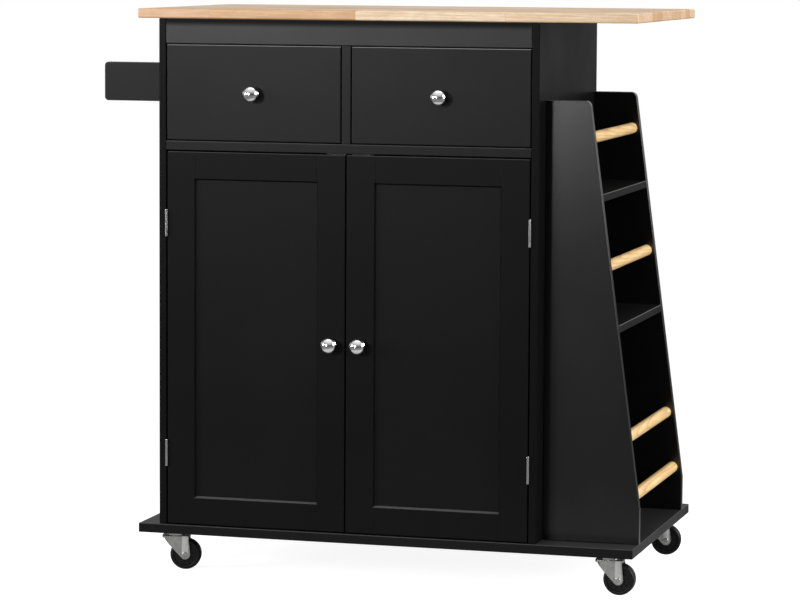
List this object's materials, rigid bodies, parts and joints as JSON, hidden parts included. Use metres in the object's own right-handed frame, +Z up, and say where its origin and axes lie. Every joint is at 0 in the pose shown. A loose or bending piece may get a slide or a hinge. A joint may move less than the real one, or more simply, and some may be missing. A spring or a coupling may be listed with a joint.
{
  "type": "kitchen cart",
  "caption": "Kitchen cart on swivel casters with a wood worktop over a black cabinet with drawers and framed doors, a slanted bottle rack on one side and a towel rail on the other.",
  "frame": {"origin": "on the floor, under the middle of the whole cart's length and depth", "axes": "+Z up, +Y towards the back, +X towards the viewer's right, where the bottle rack is, with the doors and drawers on the -Y side"},
  "size_m": [0.884, 0.473, 0.905],
  "materials": {
    "light_wood": "satin lacquered glued staves",
    "rod_wood": "sanded and lacquered round wood",
    "black_paint": "satin black paint on fibreboard",
    "hardboard": "thin board painted black on its face",
    "drawer_board": "bare light board",
    "chrome": "polished chrome",
    "zinc": "bright zinc plate",
    "screw_steel": "plated steel",
    "runner_steel": "plated sheet steel",
    "wheel_rubber": "moulded black rubber",
    "catch_plastic": "moulded plastic"
  },
  "bodies": {
    "carcass": {"worktop": "light_wood", "base_board": "black_paint", "left_side_panel": "black_paint", "right_side_panel": "black_paint", "back_panel": "hardboard", "top_rail": "black_paint", "rear_rail": "black_paint", "drawer_divider": "black_paint", "drawer_deck": "black_paint", "cupboard_shelf": "black_paint", "shelf_pins": "screw_steel", "rack_front_panel": "black_paint", "rack_rear_panel": "black_paint", "rack_lower_shelf": "black_paint", "rack_upper_shelf": "black_paint", "rack_rods": "rod_wood", "towel_bracket_front": "black_paint", "towel_bracket_rear": "black_paint", "towel_rod": "rod_wood", "hinge_frame_leaves": "zinc", "hinge_pins": "zinc", "door_catches": "catch_plastic", "runner_tracks": "runner_steel", "caster_plates": "zinc", "caster_screws": "screw_steel", "carcass_screws": "screw_steel"},
    "left_drawer": {"left_drawer_front": "black_paint", "left_drawer_sides": "drawer_board", "left_drawer_back": "drawer_board", "left_drawer_bottom": "drawer_board", "left_drawer_knob": "chrome", "left_drawer_slides": "runner_steel"},
    "right_drawer": {"right_drawer_front": "black_paint", "right_drawer_sides": "drawer_board", "right_drawer_back": "drawer_board", "right_drawer_bottom": "drawer_board", "right_drawer_knob": "chrome", "right_drawer_slides": "runner_steel"},
    "left_door": {"left_door_frame": "black_paint", "left_door_panel": "black_paint", "left_door_knob": "chrome", "left_door_hinge_leaves": "zinc", "left_door_strike": "zinc"},
    "right_door": {"right_door_frame": "black_paint", "right_door_panel": "black_paint", "right_door_knob": "chrome", "right_door_hinge_leaves": "zinc", "right_door_strike": "zinc"},
    "front_left_caster": {"front_left_fork": "zinc", "front_left_axle": "zinc"},
    "front_left_roller": {"front_left_wheel": "wheel_rubber"},
    "front_right_caster": {"front_right_fork": "zinc", "front_right_axle": "zinc"},
    "front_right_roller": {"front_right_wheel": "wheel_rubber"},
    "rear_left_caster": {"rear_left_fork": "zinc", "rear_left_axle": "zinc"},
    "rear_left_roller": {"rear_left_wheel": "wheel_rubber"},
    "rear_right_caster": {"rear_right_fork": "zinc", "rear_right_axle": "zinc"},
    "rear_right_roller": {"rear_right_wheel": "wheel_rubber"}
  },
  "joints": [
    {"name": "left_drawer_slide", "type": "slide", "parent": "carcass", "child": "left_drawer", "axis": [0, -1, 0], "range_m": [0, 0.26]},
    {"name": "right_drawer_slide", "type": "slide", "parent": "carcass", "child": "right_drawer", "axis": [0, -1, 0], "range_m": [0, 0.26]},
    {"name": "left_door_hinge", "type": "hinge", "parent": "carcass", "child": "left_door", "pos_m": [-0.32, -0.2138, 0.3805], "axis": [0, 0, -1], "range_deg": [0, 170]},
    {"name": "right_door_hinge", "type": "hinge", "parent": "carcass", "child": "right_door", "pos_m": [0.275, -0.2138, 0.3805], "axis": [0, 0, 1], "range_deg": [0, 170]},
    {"name": "front_left_swivel", "type": "hinge", "parent": "carcass", "child": "front_left_caster", "pos_m": [-0.3205, -0.1655, 0.055], "axis": [0, 0, 1], "continuous": true},
    {"name": "front_left_roll", "type": "hinge", "parent": "front_left_caster", "child": "front_left_roller", "pos_m": [-0.30534, -0.16228, 0.025], "axis": [-0.2079, 0.9781, 0], "continuous": true},
    {"name": "front_right_swivel", "type": "hinge", "parent": "carcass", "child": "front_right_caster", "pos_m": [0.3965, -0.1655, 0.055], "axis": [0, 0, 1], "continuous": true},
    {"name": "front_right_roll", "type": "hinge", "parent": "front_right_caster", "child": "front_right_roller", "pos_m": [0.412, -0.1655, 0.025], "axis": [0, 1, 0], "continuous": true},
    {"name": "rear_left_swivel", "type": "hinge", "parent": "carcass", "child": "rear_left_caster", "pos_m": [-0.3205, 0.1965, 0.055], "axis": [0, 0, 1], "continuous": true},
    {"name": "rear_left_roll", "type": "hinge", "parent": "rear_left_caster", "child": "rear_left_roller", "pos_m": [-0.305, 0.1965, 0.025], "axis": [0, 1, 0], "continuous": true},
    {"name": "rear_right_swivel", "type": "hinge", "parent": "carcass", "child": "rear_right_caster", "pos_m": [0.3965, 0.1965, 0.055], "axis": [0, 0, 1], "continuous": true},
    {"name": "rear_right_roll", "type": "hinge", "parent": "rear_right_caster", "child": "rear_right_roller", "pos_m": [0.41185, 0.19866, 0.025], "axis": [-0.1392, 0.9903, 0], "continuous": true}
  ]
}
